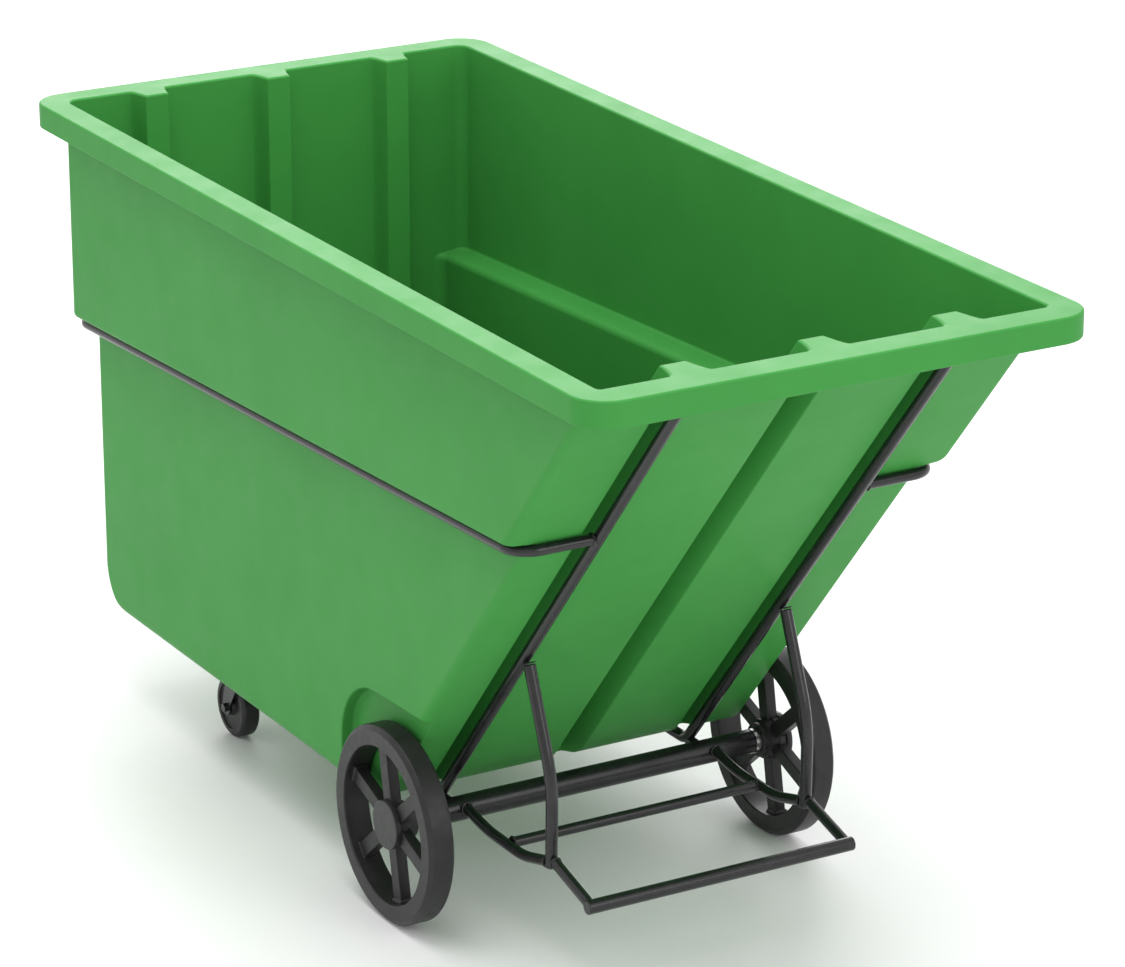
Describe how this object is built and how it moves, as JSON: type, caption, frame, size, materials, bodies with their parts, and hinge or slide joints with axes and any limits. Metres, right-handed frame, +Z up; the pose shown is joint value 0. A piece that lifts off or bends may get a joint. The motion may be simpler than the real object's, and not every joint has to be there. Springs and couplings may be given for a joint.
{
  "type": "tilt truck",
  "caption": "Open moulded bin with a sloping dumping end, carried on a bent-tube frame with spoked wheels and swivel casters.",
  "frame": {"origin": "on the floor under the middle of the bin's rim", "axes": "+Z up, -Y towards the sloping dumping end, X across between the two main wheels"},
  "size_m": [0.8, 1.747, 1.005],
  "materials": {
    "green_plastic": "rotationally moulded polyethylene with a fine satin grain",
    "frame_paint": "black satin powder coat on round steel tube and plate",
    "fork_paint": "black satin powder coat on pressed steel",
    "wheel_plastic": "dark grey moulded plastic, satin",
    "cap_plastic": "dark grey moulded plastic, satin",
    "caster_tyre_plastic": "grey moulded plastic, satin",
    "bush_nylon": "natural nylon",
    "shaft_steel": "bright drawn steel bar",
    "zinc_plate": "bright zinc plate, lightly dulled"
  },
  "bodies": {
    "chassis": {"tub": "green_plastic", "left_rail": "frame_paint", "right_rail": "frame_paint", "left_tie": "frame_paint", "right_tie": "frame_paint", "belt_rod": "frame_paint", "axle_tube": "frame_paint", "left_brace": "frame_paint", "right_brace": "frame_paint", "left_runner": "frame_paint", "right_runner": "frame_paint", "foot_bar": "frame_paint", "cross_bar": "frame_paint", "left_front_tab": "frame_paint", "left_front_lip_screw": "zinc_plate", "right_front_tab": "frame_paint", "right_front_lip_screw": "zinc_plate", "left_rear_tab": "frame_paint", "left_rear_lip_screw": "zinc_plate", "right_rear_tab": "frame_paint", "right_rear_lip_screw": "zinc_plate", "axle_shaft": "shaft_steel", "left_inner_washer": "zinc_plate", "left_outer_washer": "zinc_plate", "left_retaining_ring": "zinc_plate", "right_inner_washer": "zinc_plate", "right_outer_washer": "zinc_plate", "right_retaining_ring": "zinc_plate", "left_caster_pad": "frame_paint", "left_caster_plate": "zinc_plate", "left_caster_bolt_1": "zinc_plate", "left_caster_bolt_2": "zinc_plate", "left_caster_bolt_3": "zinc_plate", "left_caster_bolt_4": "zinc_plate", "left_caster_kingpin": "zinc_plate", "right_caster_pad": "frame_paint", "right_caster_plate": "zinc_plate", "right_caster_bolt_1": "zinc_plate", "right_caster_bolt_2": "zinc_plate", "right_caster_bolt_3": "zinc_plate", "right_caster_bolt_4": "zinc_plate", "right_caster_kingpin": "zinc_plate"},
    "left_wheel_body": {"left_wheel": "wheel_plastic", "left_inner_bush": "bush_nylon", "left_outer_bush": "bush_nylon", "left_hub_cap": "cap_plastic"},
    "right_wheel_body": {"right_wheel": "wheel_plastic", "right_inner_bush": "bush_nylon", "right_outer_bush": "bush_nylon", "right_hub_cap": "cap_plastic"},
    "left_caster_body": {"left_caster_fork": "fork_paint", "left_caster_sleeve": "zinc_plate", "left_caster_axle_bolt": "zinc_plate", "left_caster_axle_nut": "zinc_plate"},
    "left_caster_wheel_body": {"left_caster_wheel": "caster_tyre_plastic"},
    "right_caster_body": {"right_caster_fork": "fork_paint", "right_caster_sleeve": "zinc_plate", "right_caster_axle_bolt": "zinc_plate", "right_caster_axle_nut": "zinc_plate"},
    "right_caster_wheel_body": {"right_caster_wheel": "caster_tyre_plastic"}
  },
  "joints": [
    {"name": "left_wheel_spin", "type": "hinge", "parent": "chassis", "child": "left_wheel_body", "pos_m": [-0.3245, -0.1855, 0.15], "axis": [1, 0, 0], "continuous": true},
    {"name": "left_caster_swivel", "type": "hinge", "parent": "chassis", "child": "left_caster_body", "pos_m": [-0.2145, 0.5205, 0.1223], "axis": [0, 0, 1], "continuous": true},
    {"name": "left_caster_roll", "type": "hinge", "parent": "left_caster_body", "child": "left_caster_wheel_body", "pos_m": [-0.2145, 0.5525, 0.0508], "axis": [1, 0, 0], "continuous": true},
    {"name": "right_wheel_spin", "type": "hinge", "parent": "chassis", "child": "right_wheel_body", "pos_m": [0.3245, -0.1855, 0.15], "axis": [1, 0, 0], "continuous": true},
    {"name": "right_caster_swivel", "type": "hinge", "parent": "chassis", "child": "right_caster_body", "pos_m": [0.2145, 0.5205, 0.1223], "axis": [0, 0, 1], "continuous": true},
    {"name": "right_caster_roll", "type": "hinge", "parent": "right_caster_body", "child": "right_caster_wheel_body", "pos_m": [0.2145, 0.5525, 0.0508], "axis": [1, 0, 0], "continuous": true}
  ]
}
